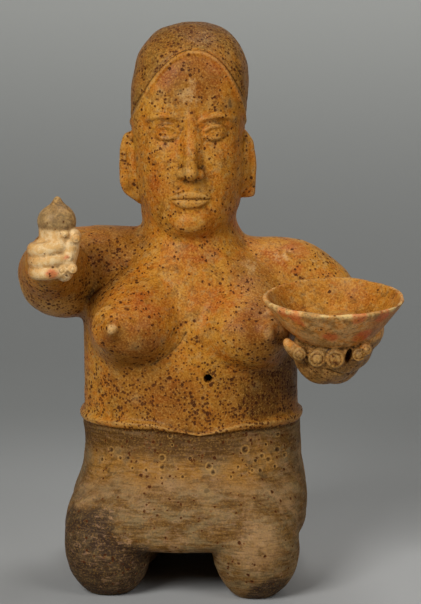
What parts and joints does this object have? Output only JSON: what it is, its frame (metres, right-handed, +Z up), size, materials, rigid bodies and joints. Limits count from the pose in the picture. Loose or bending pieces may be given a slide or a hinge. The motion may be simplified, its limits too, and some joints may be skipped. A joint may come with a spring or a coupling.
{
  "type": "kneeling ceramic figure with bowl",
  "caption": "Hollow fired-clay kneeling figure that holds an open bowl on one hand and a knobbed object upright in the other fist.",
  "frame": {"origin": "centre of the figure's bounding box, at floor level", "axes": "+Z up along the figure's longest extent, the figure faces -Y, the bowl is at +X"},
  "size_m": [0.3394, 0.3036, 0.4998],
  "materials": {
    "burnished_clay": "burnished ochre slip with dark mineral specks, worn to grey-brown on the skirt"
  },
  "bodies": {
    "root": {"figure": "burnished_clay"}
  },
  "joints": []
}
